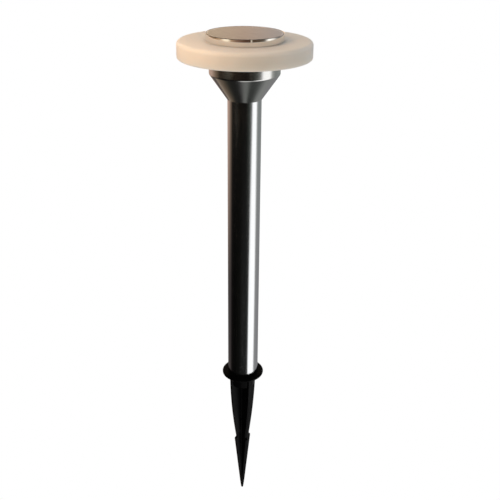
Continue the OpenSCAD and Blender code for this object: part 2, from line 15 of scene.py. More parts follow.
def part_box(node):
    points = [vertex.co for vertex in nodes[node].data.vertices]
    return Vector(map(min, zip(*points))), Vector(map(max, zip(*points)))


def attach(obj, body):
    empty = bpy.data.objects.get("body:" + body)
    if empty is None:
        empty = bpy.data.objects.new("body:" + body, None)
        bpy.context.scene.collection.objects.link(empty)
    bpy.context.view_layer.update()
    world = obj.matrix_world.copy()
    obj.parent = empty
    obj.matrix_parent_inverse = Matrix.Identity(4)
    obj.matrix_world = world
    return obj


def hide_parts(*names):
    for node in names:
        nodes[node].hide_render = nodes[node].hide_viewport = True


mm = 0.001
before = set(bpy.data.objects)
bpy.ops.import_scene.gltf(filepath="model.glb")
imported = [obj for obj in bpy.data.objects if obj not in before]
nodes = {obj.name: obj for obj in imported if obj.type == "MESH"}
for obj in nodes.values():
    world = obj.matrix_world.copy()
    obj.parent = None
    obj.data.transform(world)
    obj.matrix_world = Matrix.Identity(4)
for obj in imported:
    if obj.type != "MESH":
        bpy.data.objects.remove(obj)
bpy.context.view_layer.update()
scene = bpy.context.scene


# ------------------------ ground spike
# One moulding of black polypropylene. Two crossed fins thin to a point and carry a barb each side,
# a flange above them stops on the soil, and a hollow plug with two lands holds the pole.


def span(name):
    """Outer radius, lowest and highest z of a round CAD node, in mm."""
    low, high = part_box(name)
    return high.x / mm, low.z / mm, high.z / mm


def rounded(corners, steps=6):
    """Profile through corners (r, z, radius), each turned by an arc; a corner with no radius stays sharp.

    At a corner P with unit vectors u and v to its neighbours and angle 2h between them, the arc starts
    radius / tan h along u, ends as far along v, and its centre is radius / sin h from P. Its points are
    the blend (sin((1 - t) w) first + sin(t w) last) / sin w of its end radii, where w = 180 deg - 2h.
    """
    points = np.array([corner[:2] for corner in corners], float)
    radii = [corner[2] if len(corner) > 2 else 0 for corner in corners]
    t = np.linspace(0, 1, steps + 1)[:, None]
    parts = []
    for p, before, after, radius in zip(points, np.roll(points, 1, 0), np.roll(points, -1, 0), radii):
        if radius == 0:
            parts.append(p[None])
            continue
        u = (before - p) / np.linalg.norm(before - p)
        v = (after - p) / np.linalg.norm(after - p)
        half = np.arccos(np.clip(u @ v, -1, 1)) / 2
        centre = p + (u + v) / np.linalg.norm(u + v) * radius / np.sin(half)
        first = p + u * radius / np.tan(half) - centre
        last = p + v * radius / np.tan(half) - centre
        turn = np.pi - 2 * half
        blend = np.sin((1 - t) * turn) * first + np.sin(t * turn) * last
        parts.append(centre + blend / np.sin(turn))
    return np.concatenate(parts)


def surface(name, grids, loop, sharp=30):
    """One mesh over grids of points (rows, columns, 3) in mm.

    Quads join neighbours, the last column meets the first, and with loop the last row meets the first.
    Points that fall together, as at a pole, are merged. Edges over `sharp` degrees stay crisp, and a
    large face keeps its own normal where it runs into a small rounding.
    """
    points, quads, count = [], [], 0
    for grid in grids:
        rows, columns = grid.shape[:2]
        row = np.arange(rows if loop else rows - 1)[:, None]
        column = np.arange(columns)[None]
        low, high = row * columns, (row + 1) % rows * columns
        beside = (column + 1) % columns
        corners = np.stack([low + column, low + beside, high + beside, high + column], -1)
        quads.append(corners.reshape(-1, 4) + count)
        points.append(grid.reshape(-1, 3) * mm)
        count += rows * columns
    mesh = bpy.data.meshes.new(name)
    mesh.from_pydata(np.concatenate(points), [], np.concatenate(quads).tolist())
    shell = bmesh.new()
    shell.from_mesh(mesh)
    bmesh.ops.remove_doubles(shell, verts=shell.verts, dist=1e-7)
    bmesh.ops.dissolve_degenerate(shell, edges=shell.edges, dist=1e-8)
    shell.to_mesh(mesh)
    shell.free()
    mesh.shade_smooth()
    mesh.set_sharp_from_angle(angle=math.radians(sharp))
    piece = bpy.data.objects.new(name, mesh)
    scene.collection.objects.link(piece)
    weighted = piece.modifiers.new("weighted normals", "WEIGHTED_NORMAL")
    weighted.keep_sharp = True
    return piece


def turned_grid(profile, around=160):
    """Grid of revolution: profile point (r, z) at angle a goes to (r cos a, r sin a, z)."""
    a = np.linspace(0, 2 * np.pi, around, endpoint=False)
    r, z = profile[:, :1], profile[:, 1:]
    return np.stack([r * np.cos(a), r * np.sin(a), z + 0 * a], -1)


def turned(name, corners, around=160, loop=True, steps=6):
    """Piece turned about the axis from a profile's corners, which keep the material on their left."""
    return surface(name, [turned_grid(rounded(corners, steps), around)], loop)


def dress(piece, material, body, slot, *stands_for):
    """Gives a piece its material and its body, and hides the CAD nodes it stands for. The slot is not
    used.
    """
    piece.data.materials.append(material)
    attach(piece, body)
    if stands_for:
        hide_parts(*stands_for)


def coat(material, *names):
    """Gives CAD nodes a finished material in place of their plain one."""
    for name in names:
        nodes[name].data.materials.clear()
        nodes[name].data.materials.append(material)


def linear(code):
    """sRGB hex colour as linear RGBA: c / 12.92 below 0.04045, else ((c + 0.055) / 1.055) ** 2.4."""
    srgb = np.array([int(code[i : i + 2], 16) for i in (1, 3, 5)]) / 255
    rgb = np.where(srgb < 0.04045, srgb / 12.92, ((srgb + 0.055) / 1.055) ** 2.4)
    return (*rgb.tolist(), 1.0)


def put(tree, kind, inputs=None, **settings):
    """Adds a shader node of that kind, or takes the node given, sets it up and fills its inputs.

    An input takes a value, or the output socket of another node.
    """
    node = tree.nodes.new(kind) if isinstance(kind, str) else kind
    for key, value in settings.items():
        setattr(node, key, value)
    for key, value in (inputs or {}).items():
        if isinstance(value, bpy.types.NodeSocket):
            tree.links.new(value, node.inputs[key])
        else:
            node.inputs[key].default_value = value
    return node


def new_material(name):
    """A new material, its node tree, its Principled shader and the piece's own coordinates."""
    material = bpy.data.materials.new(name)
    material.use_nodes = True
    tree = material.node_tree
    place = put(tree, "ShaderNodeTexCoord").outputs["Object"]
    return material, tree, tree.nodes["Principled BSDF"], place


def ramp(tree, factor, stops, interpolation="LINEAR"):
    """Colour ramp from (position, hex colour or grey level) stops: its colour output."""
    node = put(tree, "ShaderNodeValToRGB", {"Fac": factor})
    node.color_ramp.interpolation = interpolation
    elements = node.color_ramp.elements
    while len(elements) < len(stops):
        elements.new(1.0)
    for element, (position, tone) in zip(elements, stops):
        element.position = position
        element.color = linear(tone) if isinstance(tone, str) else (tone, tone, tone, 1)
    return node.outputs["Color"]


def moulded(name, tone, worn, roughness, grain, depth, specular=0.5):
    """Injection-moulded plastic: a spark-eroded mould leaves a fine even grain of `grain` mm.

    The eye sees a soft satin sheen, slightly glossier where the flow of the plastic polished it,
    over one body colour that varies a little.
    """
    material, tree, shader, place = new_material(name)
    flow = put(tree, "ShaderNodeTexNoise", {"Vector": place, "Scale": 1 / (26 * mm), "Detail": 3.0})
    skin = put(tree, "ShaderNodeTexNoise", {"Vector": place, "Scale": 1 / (grain * mm), "Detail": 4.0})
    levels = {
        "Value": flow.outputs["Fac"], "From Min": 0.3, "From Max": 0.7,
        "To Min": roughness - 0.07, "To Max": roughness + 0.07,
    }
    gloss = put(tree, "ShaderNodeMapRange", levels)
    relief = {"Height": skin.outputs["Fac"], "Strength": 0.5, "Distance": depth * mm}
    bump = put(tree, "ShaderNodeBump", relief)
    look = {
        "Base Color": ramp(tree, flow.outputs["Fac"], [(0.35, tone), (0.7, worn)]),
        "Roughness": gloss.outputs["Result"],
        "Normal": bump.outputs["Normal"],
        "IOR": 1.49,
        "Specular IOR Level": specular,
    }
    put(tree, shader, look)
    return material


flange_r, tip_z, plug_top = span("ground_spike")
pole_r, pole_low, pole_top = span("pole_tube")
fin_reach = 15.3
fin_half_t = 1.5
fin_root = 1.4
fin_edge = 0.5
waist, waist_z = 7.6, -85.4
barb, barb_z = 9.6, -88.0
tip_r = 1.1
hub_r, hub_low_r, hub_z = 13.2, 12.4, -14.0
hub_bevel = 0.6
fin_sink = 1.0


def fin_profile():
    """Reach of a fin down its edge, as points (reach, z).

    From the flange, which it enters by fin_sink, to the waist it is
    fin_reach - (fin_reach - waist) * depth ** 1.85, with depth as a share of the waist's. A rounded
    barb follows, then a straight taper to a half-round point.
    """
    depth = np.linspace(0, 1, 40)[:-1]
    edge = np.stack([fin_reach - (fin_reach - waist) * depth**1.85, depth * waist_z], -1)
    edge[0, 1] = fin_sink
    barb_corners = [tuple(edge[-1]), (waist, waist_z, 0.5), (barb, barb_z, 0.45), (tip_r, tip_z + tip_r)]
    barbed = rounded(barb_corners, 5)
    taper = np.linspace(barbed[-2], barbed[-1], 16)
    quarter = np.linspace(0, np.pi / 2, 7)[1:, None]
    point = np.concatenate([tip_r * np.cos(quarter), tip_z + tip_r - tip_r * np.sin(quarter)], 1)
    return np.concatenate([edge, barbed[1:-2], taper, point])


def blade_grid():
    """Crossed fins and their hub: at each height the outline of a cross with rounded tips and roots.

    An arm's half outline runs from its tip, round an edge of radius c, along its side, where
    x = (reach - c) ** (1 - s) * (h + f) ** s spaces the points, and round the root's fillet f up to the
    diagonal. Where the arm gets short, h, f and c are held to a share of it. The hub pushes out every
    point that lies inside its own radius.
    """
    profile = fin_profile()
    # the hub's shoulder repeats the rows at its height, so that it closes flat
    below = np.argmax(profile[:, 1] < hub_z)
    shoulder = np.interp(hub_z, profile[::-1, 1], profile[::-1, 0])
    level = np.array([[shoulder, hub_z]])
    profile = np.concatenate([profile[:below], level, level, level, profile[below:]])
    reach, z = profile[:, :1], profile[:, 1:]
    hub = np.where(z > hub_z, hub_low_r + (hub_r - hub_low_r) * (1 - z / hub_z), 0)
    hub[below], hub[below + 1] = hub_low_r, hub_low_r - hub_bevel
    h = np.minimum(fin_half_t, 0.75 * reach)
    f = np.minimum(fin_root, 0.45 * (reach - h))
    c = np.minimum(fin_edge, 0.6 * h)
    quarter = np.linspace(0, np.pi / 2, 5)
    edge_x, edge_y = reach - c + c * np.cos(quarter), h - c + c * np.sin(quarter)
    s = np.linspace(0, 1, 12)[1:]
    side_x = np.maximum(reach - c, h + f) ** (1 - s) * (h + f) ** s
    eighth = np.linspace(0, np.pi / 4, 5)[1:]
    root_x, root_y = h + f - f * np.sin(eighth), h + f - f * np.cos(eighth)
    x = np.concatenate([reach, edge_x, side_x, root_x], 1)
    y = np.concatenate([0 * reach, edge_y, h + 0 * side_x, root_y], 1)
    # lower half reversed, then upper half, without the tip's and the diagonal's doubles
    arm_x = np.concatenate([x[:, :0:-1], x[:, :-1]], 1)
    arm_y = np.concatenate([-y[:, :0:-1], y[:, :-1]], 1)
    length = np.hypot(arm_x, arm_y)
    grow = np.maximum(1, hub / length)
    arm_x, arm_y = arm_x * grow, arm_y * grow
    xs = np.concatenate([arm_x, -arm_y, -arm_x, arm_y], 1)
    ys = np.concatenate([arm_y, arm_x, -arm_y, -arm_x], 1)
    grid = np.stack([xs, ys, z + 0 * xs], -1)[::-1]
    top = grid[-1:] * [0, 0, 1]
    return np.concatenate([grid, top])


spike_black = moulded("polypropylene_black", "#020203", "#050506", 0.32, 0.35, 0.012, 0.06)
plug_r, core_r, plug_bore = 14.93, 13.93, 11.3
bore_floor = 6
low_land_top = 9
high_land = 6
land_slope = 1.0
lead = 1.2
land_low = plug_top - lead - high_land
flange_low = 0.001
plug_corners = [
    (0, flange_low),
    (flange_r, flange_low, 1.3),
    (flange_r, pole_low, 1.3),
    (core_r, pole_low, 0.2),
    (plug_r, pole_low + 0.3, 0.2),
    (plug_r, low_land_top, 0.3),
    (core_r, low_land_top + land_slope, 0.3),
    (core_r, land_low - land_slope, 0.3),
    (plug_r, land_low, 0.3),
    (plug_r, plug_top - lead, 0.3),
    (plug_r - lead, plug_top, 0.3),
    (plug_bore, plug_top, 0.4),
    (plug_bore - 0.5, bore_floor, 1.0),
    (0, bore_floor),
]
spike_grids = [blade_grid(), turned_grid(rounded(plug_corners), 128)]
dress(
    surface("spike_moulding", spike_grids, False, 40),
    spike_black, "spike", "black_plastic", "ground_spike",
)


# ------------------------ pole
# Welded and drawn stainless tube, 32 mm across with a 1 mm wall, its outside ground lengthwise and
# then polished. Both ends are cut square and deburred. It pushes over the spike's plug.


def ground_steel(name, tone, roughness, streak, grain, lengthwise, depth=0.0012):
    """Stainless steel with a ground finish: fine parallel scratches, drawn `grain` mm apart.

    The scratches of a real 320 grit belt are under 0.05 mm apart, so they are drawn coarser to show.
    They run along the axis, or round it where the piece was turned, and blur highlights across
    themselves. Faint handling marks dull them in places.
    """
    material, tree, shader, place = new_material(name)
    length = 60 if lengthwise else 40
    if lengthwise:
        around = place
    else:
        axes = put(tree, "ShaderNodeSeparateXYZ", {"Vector": place})
        flat = put(tree, "ShaderNodeCombineXYZ", {"X": axes.outputs["X"], "Y": axes.outputs["Y"]})
        radius = put(tree, "ShaderNodeVectorMath", {0: flat.outputs["Vector"]}, operation="LENGTH")
        unrolled = {"X": radius.outputs["Value"], "Y": axes.outputs["Z"], "Z": axes.outputs["X"]}
        around = put(tree, "ShaderNodeCombineXYZ", unrolled).outputs["Vector"]
    stretch = (1 / (grain * mm), 1 / (grain * mm), 1 / (length * mm))
    lay = put(tree, "ShaderNodeMapping", {"Vector": around, "Scale": stretch}).outputs["Vector"]
    scratches = put(tree, "ShaderNodeTexNoise", {"Vector": lay, "Scale": 1.0, "Detail": 3.0})
    marks = put(tree, "ShaderNodeTexNoise", {"Vector": place, "Scale": 1 / (18 * mm), "Detail": 4.0})
    wear = {0: scratches.outputs["Fac"], 1: marks.outputs["Fac"]}
    gloss = put(tree, "ShaderNodeMath", wear, operation="MULTIPLY")
    levels = {
        "Value": gloss.outputs["Value"], "From Min": 0.12, "From Max": 0.4,
        "To Min": roughness - streak, "To Max": roughness + streak,
    }
    spread = put(tree, "ShaderNodeMapRange", levels)
    relief = {"Height": scratches.outputs["Fac"], "Strength": 0.35, "Distance": depth * mm}
    bump = put(tree, "ShaderNodeBump", relief)
    direction = put(tree, "ShaderNodeTangent", direction_type="RADIAL", axis="Z")
    look = {
        "Base Color": linear(tone),
        "Metallic": 1.0,
        "Roughness": spread.outputs["Result"],
        "Anisotropic": 0.35,
        "Anisotropic Rotation": 0.25 if lengthwise else 0.0,
        "Normal": bump.outputs["Normal"],
        "Tangent": direction.outputs["Tangent"],
    }
    put(tree, shader, look)
    return material


pole_steel = ground_steel("stainless_tube_polished", "#c4c5c6", 0.13, 0.03, 0.5, True)
wall = 1.0
deburr = 0.2
pole_corners = [
    (pole_r - wall, pole_low),
    (pole_r, pole_low, deburr),
    (pole_r, pole_top, deburr),
    (pole_r - wall, pole_top, 0.1),
]
dress(turned("pole_steel_tube", pole_corners), pole_steel, "pole", "brushed_steel", "pole_tube")


# ------------------------ funnel collar
# Stainless sheet spun to a cone with an upright band, turned on a lathe so that its scratches run
# round it. A welded plate closes it, and a ring welded in its mouth carries the disc.

spun_steel = ground_steel("stainless_spun", "#c2c1bf", 0.155, 0.03, 0.35, False)
band_r, foot_z, band_top = span("funnel_collar")
cone_h = 23.5
band_z = foot_z + cone_h
foot_r = pole_r + 0.5
sheet = 1.0
collar_corners = [
    (pole_r - sheet, foot_z),
    (foot_r, foot_z, 0.25),
    (band_r, band_z, 2.5),
    (band_r, band_top, 0.3),
    (band_r - sheet, band_top),
    (band_r - sheet, band_z + 0.4, 1.0),
]
dress(
    turned("collar_spun_shell", collar_corners, steps=10),
    spun_steel, "head", "brushed_steel", "funnel_collar",
)

mill_steel = ground_steel("stainless_sheet", "#bdbcba", 0.34, 0.05, 0.3, False)
coat(mill_steel, "collar_plate", "seat_ring")


# ------------------------ spigot
# Black ABS bush that plugs into the pole's mouth. Three cross-head screws go down through the cup's
# floor and the welded plate into it, so that they clamp the whole head together.

bush_black = moulded("abs_black", "#141415", "#1c1c1d", 0.4, 0.3, 0.01, 0.3)
coat(bush_black, "head_spigot")


def bright_screw(name, tone):
    """Cold-headed stainless screw, tumbled bright: smooth and shiny, with slight tumbling dents."""
    material, tree, shader, place = new_material(name)
    dents = put(tree, "ShaderNodeTexNoise", {"Vector": place, "Scale": 1 / (0.6 * mm), "Detail": 2.0})
    relief = {"Height": dents.outputs["Fac"], "Strength": 0.4, "Distance": 0.02 * mm}
    bump = put(tree, "ShaderNodeBump", relief)
    look = {
        "Base Color": linear(tone),
        "Metallic": 1.0,
        "Roughness": 0.24,
        "Normal": bump.outputs["Normal"],
    }
    put(tree, shader, look)
    return material


screw_steel = bright_screw("stainless_screw", "#c4c3c1")
coat(screw_steel, "spigot_screws", "tray_screws", "board_screws")


# ------------------------ frosted disc
# Thick ring cut from cast acrylic, its rims rounded over and the whole sandblasted, so that light
# spreads in it and no edge is sharp. It sits on a rubber gasket on the collar's ring.


def blasted_acrylic(name, tone, deep):
    """Cast acrylic, sandblasted: a matt skin with a soft sheen over a body that light soaks into.

    The grit leaves pits of about 0.15 mm, drawn 0.4 mm wide to show. Light that enters comes out a few
    millimetres away, so shadows are soft and the rims glow.
    """
    material, tree, shader, place = new_material(name)
    cloud = put(tree, "ShaderNodeTexNoise", {"Vector": place, "Scale": 1 / (34 * mm), "Detail": 2.0})
    pits = put(tree, "ShaderNodeTexNoise", {"Vector": place, "Scale": 1 / (0.4 * mm), "Detail": 3.0})
    relief = {"Height": pits.outputs["Fac"], "Strength": 0.25, "Distance": 0.02 * mm}
    bump = put(tree, "ShaderNodeBump", relief)
    look = {
        "Base Color": ramp(tree, cloud.outputs["Fac"], [(0.35, tone), (0.65, deep)]),
        "Roughness": 0.48,
        "IOR": 1.49,
        "Subsurface Weight": 1.0,
        "Subsurface Radius": (1.0, 0.9, 0.8),
        "Subsurface Scale": 12 * mm,
        "Normal": bump.outputs["Normal"],
    }
    put(tree, shader, look)
    return material


frosted = blasted_acrylic("acrylic_frosted", "#e6e1d7", "#e2ddd3")
disc_r, disc_low, disc_top = span("frosted_disc")
cup_hole = 28.8
rebate_r = 33.0
rebate_z = disc_top - 2.0
disc_corners = [
    (cup_hole, disc_low, 0.3),
    (disc_r, disc_low, 1.5),
    (disc_r, disc_top, 3.5),
    (rebate_r, disc_top, 0.3),
    (rebate_r, rebate_z, 0.2),
    (cup_hole, rebate_z, 0.3),
]
dress(
    turned("disc_frosted_ring", disc_corners, 192, steps=10),
    frosted, "head", "frosted_acrylic", "frosted_disc",
)

gasket_rubber = moulded("nitrile_rubber", "#131313", "#1b1b1b", 0.55, 0.5, 0.02, 0.35)
coat(gasket_rubber, "disc_gasket", "module_oring")


# ------------------------ clear cup and washer
# Polycarbonate cup moulded clear, through which the lamp lights the disc from inside. Its flange
# clamps the disc down over a soft silicone washer.


def clear_plastic(name, tone, roughness):
    """Clear polycarbonate or silicone: glossy as its mould and colourless, with faint flow waves."""
    material, tree, shader, place = new_material(name)
    waves = put(tree, "ShaderNodeTexNoise", {"Vector": place, "Scale": 1 / (9 * mm), "Detail": 1.0})
    relief = {"Height": waves.outputs["Fac"], "Strength": 0.2, "Distance": 0.05 * mm}
    bump = put(tree, "ShaderNodeBump", relief)
    look = {
        "Base Color": linear(tone),
        "Roughness": roughness,
        "IOR": 1.58,
        "Transmission Weight": 0.95,
        "Normal": bump.outputs["Normal"],
    }
    put(tree, shader, look)
    return material


coat(clear_plastic("polycarbonate_clear", "#eef3f3", 0.06), "light_cup")
coat(clear_plastic("silicone_clear", "#dfe2e2", 0.45), "cup_washer")


# ------------------------ cap ring
# Stainless ring, deep drawn and mirror polished, with a rounded upper edge. It holds the solar
# panel's glass flush in its mouth and is glued to the module's deck.

mirror_steel = ground_steel("stainless_mirror", "#eeebe6", 0.05, 0.015, 0.4, False, 0.0004)
cap_r, cap_low, cap_top = span("cap_ring")
cap_lip = 30.5
cap_corners = [
    (cap_lip, cap_low, 0.1),
    (cap_r, cap_low, 0.3),
    (cap_r, cap_top, 0.25),
    (cap_r - wall, cap_top, 0.7),
    (cap_r - wall, cap_low + wall),
    (cap_lip, cap_low + wall, 0.1),
]
dress(
    turned("cap_polished_ring", cap_corners, 192, steps=8),
    mirror_steel, "module", "polished_steel", "cap_ring",
)


# ------------------------ solar panel
# Round amorphous silicon panel: six strips of dark brown film behind low-iron glass, joined by a
# metal bar at each side, on a black board. The glass is set flush in the ring with clear sealant.


def panel_cover(name, tone):
    """Float glass with a ground edge: clear and almost mirror smooth, under a thin film of dust."""
    material, tree, shader, place = new_material(name)
    film = put(tree, "ShaderNodeTexNoise", {"Vector": place, "Scale": 1 / (30 * mm), "Detail": 3.0})
    levels = {"Value": film.outputs["Fac"], "To Min": 0.04, "To Max": 0.1}
    gloss = put(tree, "ShaderNodeMapRange", levels)
    look = {
        "Base Color": linear(tone),
        "Roughness": gloss.outputs["Result"],
        "IOR": 1.52,
        "Transmission Weight": 1.0,
    }
    put(tree, shader, look)
    return material


def silicon_film(name, tone, purple):
    """Amorphous silicon film: a dark red-brown glossy layer that turns a little purple in places."""
    material, tree, shader, place = new_material(name)
    cloud = put(tree, "ShaderNodeTexNoise", {"Vector": place, "Scale": 1 / (22 * mm), "Detail": 2.0})
    look = {
        "Base Color": ramp(tree, cloud.outputs["Fac"], [(0.3, tone), (0.7, purple)]),
        "Roughness": 0.25,
        "Specular IOR Level": 0.7,
    }
    put(tree, shader, look)
    return material


glass_r, glass_low, glass_top = span("panel_glass")
glass_corners = [(0, glass_low), (glass_r, glass_low, 0.1), (glass_r, glass_top, 0.2), (0, glass_top)]
dress(
    turned("panel_cover_glass", glass_corners, 192, loop=False),
    panel_cover("glass_low_iron", "#f1efec"), "module", "panel_glass", "panel_glass",
)
coat(silicon_film("silicon_film", "#4a332b", "#3f2c2b"), "cell_strips")


def bare_metal(name, tone, roughness):
    """Plated or drawn metal, bright from the roll or the bath, with slight patches that are duller."""
    material, tree, shader, place = new_material(name)
    patch = put(tree, "ShaderNodeTexNoise", {"Vector": place, "Scale": 1 / (4 * mm), "Detail": 3.0})
    levels = {"Value": patch.outputs["Fac"], "To Min": roughness - 0.08, "To Max": roughness + 0.1}
    gloss = put(tree, "ShaderNodeMapRange", levels)
    look = {"Base Color": linear(tone), "Metallic": 1.0, "Roughness": gloss.outputs["Result"]}
    put(tree, shader, look)
    return material


nickel = bare_metal("nickel_plate", "#c9c4b8", 0.28)
coat(nickel, "cell_busbars", "positive_contact", "negative_strip", "contact_disc", "switch_frame")


def circuit_board(name, tone, trace):
    """Fibreglass board under solder mask: glossy, with the copper tracks showing as paler lines.

    Tracks 0.6 mm wide run 2.54 mm apart. Of square fields some 6 mm wide, two in five take them one
    way, two in five the other, and the rest is plain mask.
    """
    material, tree, shader, place = new_material(name)
    axes = put(tree, "ShaderNodeSeparateXYZ", {"Vector": place})
    flat = put(tree, "ShaderNodeCombineXYZ", {"X": axes.outputs["X"], "Y": axes.outputs["Y"]})
    squares = {"Vector": flat.outputs["Vector"], "Scale": 1 / (6 * mm)}
    field = put(tree, "ShaderNodeTexVoronoi", squares, distance="CHEBYCHEV")
    chance = put(tree, "ShaderNodeSeparateXYZ", {"Vector": field.outputs["Color"]}).outputs["X"]
    tracks = 0.0
    for axis, middle in (("X", 0.2), ("Y", 0.6)):
        step = put(tree, "ShaderNodeMath", {0: axes.outputs[axis], 1: 1.27 * mm}, operation="PINGPONG")
        line = put(tree, "ShaderNodeMath", {0: step.outputs[0], 1: 0.3 * mm}, operation="LESS_THAN")
        inside = put(tree, "ShaderNodeMath", {0: chance, 1: middle, 2: 0.2}, operation="COMPARE")
        added = {0: line.outputs[0], 1: inside.outputs[0], 2: tracks}
        tracks = put(tree, "ShaderNodeMath", added, operation="MULTIPLY_ADD").outputs[0]
    look = {
        "Base Color": ramp(tree, tracks, [(0.0, tone), (1.0, trace)]),
        "Roughness": 0.32,
        "IOR": 1.5,
    }
    put(tree, shader, look)
    return material


coat(circuit_board("board_black", "#1b1b1c", "#232324"), "panel_board")


# ------------------------ module deck and lamp
# White ABS deck that carries the panel above and the lamp below, with an O-ring round its hub. The
# lamp is a hexagonal drum with a flexible board round it and a diode on each flat.

deck_white = moulded("abs_white", "#e6e4dd", "#dfddd5", 0.36, 0.4, 0.012)
coat(deck_white, "module_deck", "led_drum", "switch_slider")
coat(circuit_board("board_white", "#e4e2d8", "#dbd9cf"), "led_board")


def block_grid(w, d, corner, side):
    """Block of w by d mm whose outline, a rectangle with arcs for corners, follows the profile `side`.

    A profile point (s, z) moves the outline out by s at height z: its corner arcs of radius
    r = max(corner + s, 0) are centred at (w / 2 + s - r, d / 2 + s - r). Both ends close on the middle.
    """
    s, z = side[:, :1], side[:, 1:]
    quadrant = np.arange(4)[:, None] * np.pi / 2
    a = (quadrant + np.linspace(0, np.pi / 2, 4)).ravel()
    middle = (quadrant + np.full(4, np.pi / 4)).ravel()
    r = np.maximum(corner + s, 0)
    x = np.sign(np.cos(middle)) * (w / 2 + s - r) + r * np.cos(a)
    y = np.sign(np.sin(middle)) * (d / 2 + s - r) + r * np.sin(a)
    grid = np.stack([x, y, z + 0 * x], -1)
    return np.concatenate([grid[:1] * [0, 0, 1], grid, grid[-1:] * [0, 0, 1]])


def on_flats(grid, start):
    """Copies of a grid on the drum's six flats: its x runs round the drum, its y up, its z outwards."""
    copies = []
    for a in np.radians(np.arange(6) * 60):
        out = np.array([np.cos(a), np.sin(a), 0])
        axes = np.array([[-np.sin(a), np.cos(a), 0], [0, 0, 1], out])
        copies.append(grid @ axes + start * out + [0, 0, diode_z])
    return copies


def smooth_body(name, tone, edge, roughness):
    """Cast resin, sintered ferrite or a film sleeve: a smooth skin over a slightly cloudy body."""
    material, tree, shader, place = new_material(name)
    cloud = put(tree, "ShaderNodeTexNoise", {"Vector": place, "Scale": 1 / (1.5 * mm), "Detail": 3.0})
    look = {
        "Base Color": ramp(tree, cloud.outputs["Fac"], [(0.3, tone), (0.7, edge)]),
        "Roughness": roughness,
        "IOR": 1.5,
    }
    put(tree, shader, look)
    return material


diode_reach, diode_low, diode_top = span("led_packages")
diode_z = (diode_low + diode_top) / 2
package_w, package_h, package_t = 3.5, 2.8, 1.4
window_w, window_h, window_depth = 2.5, 1.8, 0.1
package_side = rounded(
    [(0, 0), (0, package_t, 0.12), (-0.42, package_t), (-0.5, package_t - window_depth)], 3
)
packages = on_flats(block_grid(package_w, package_h, 0.3, package_side), diode_reach - package_t)
dress(
    surface("led_packages_moulded", packages, False),
    deck_white, "module", "white_plastic", "led_packages",
)
phosphor_side = rounded([(0, 0), (0, 0.06), (-0.3, 0.09), (-0.7, window_depth)])
phosphors = on_flats(block_grid(window_w, window_h, 0.1, phosphor_side), diode_reach - window_depth)
phosphor = smooth_body("phosphor_resin", "#e5bd3c", "#d9ad2e", 0.2)
dress(surface("led_phosphor_fills", phosphors, False), phosphor, "module", "phosphor", "led_phosphors")


# ------------------------ control board
# Green board that charges the cell and lights the lamp at dusk: one driver chip, a drum-core
# inductor, a capacitor and four small resistors, held on three posts by screws.

coat(circuit_board("board_green", "#1c6a42", "#2c8155"), "control_board")


def seat(name):
    """Middle of a CAD node's foot and its size, in mm."""
    low, high = (np.array(corner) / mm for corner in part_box(name))
    return np.array([*(low + high)[:2] / 2, low[2]]), high - low


def circle(r, sides=12):
    """Section of a round wire, anticlockwise."""
    a = np.linspace(0, 2 * np.pi, sides, endpoint=False)
    return np.stack([r * np.cos(a), r * np.sin(a)], -1)


def carried(path, section, up):
    """Section points (u, v) carried along a path: path + u * across + v * over, closed at both ends.

    With t the path's direction, across is the unit vector along up x t, and over is t x across.
    """
    t = np.gradient(path, axis=0)
    t /= np.linalg.norm(t, axis=1, keepdims=True)
    across = np.cross(up, t)
    across /= np.linalg.norm(across, axis=1, keepdims=True)
    over = np.cross(t, across)
    u, v = section[:, :1], section[:, 1:]
    grid = path[:, None] + u * across[:, None] + v * over[:, None]
    return np.concatenate([path[:1, None] + 0 * grid[:1], grid, path[-1:, None] + 0 * grid[:1]])


def helix(turns, r, z):
    """Path round the axis: after so many turns it is at radius r and height z."""
    return np.stack([r * np.cos(2 * np.pi * turns), r * np.sin(2 * np.pi * turns), z], -1)


chip_resin = smooth_body("moulding_resin", "#1a1a1c", "#202022", 0.5)
chip_foot, (chip_w, chip_d, chip_h) = seat("driver_chip")
chip_side = rounded([(-0.15, 0), (0, 0.7), (0, 0.8), (-0.15, chip_h, 0.08), (-0.8, chip_h)], 3)
chip = block_grid(chip_w, chip_d, 0.15, chip_side) + chip_foot
dress(surface("driver_chip_moulding", [chip], False), chip_resin, "module", "chip_resin", "driver_chip")

# gull-wing legs, stamped from strip: level out of the chip, down, and flat on their pads
board_foot, board_size = seat("control_board")
board_low, board_top = board_foot[2], board_foot[2] + board_size[2]
leg_pitch, leg_w, leg_t = 1.27, 0.4, 0.2
leg_section = np.array([(-1, -1), (1, -1), (1, 1), (-1, 1)]) * (leg_t / 2, leg_w / 2)
out, rise = rounded([(-0.05, 0.85), (0.32, 0.85, 0.15), (0.55, 0.1, 0.15), (1.0, 0.1)]).T
legs = []
for step in (-1.5, -0.5, 0.5, 1.5):
    for way in (-1, 1):
        leg_x = chip_foot[0] + step * leg_pitch + 0 * out
        leg_y = chip_foot[1] + way * (chip_d / 2 + out)
        legs.append(carried(np.stack([leg_x, leg_y, board_top + rise], -1), leg_section, (1, 0, 0)))
dress(surface("chip_gull_legs", legs, False), nickel, "module", "nickel_plate", "chip_legs")

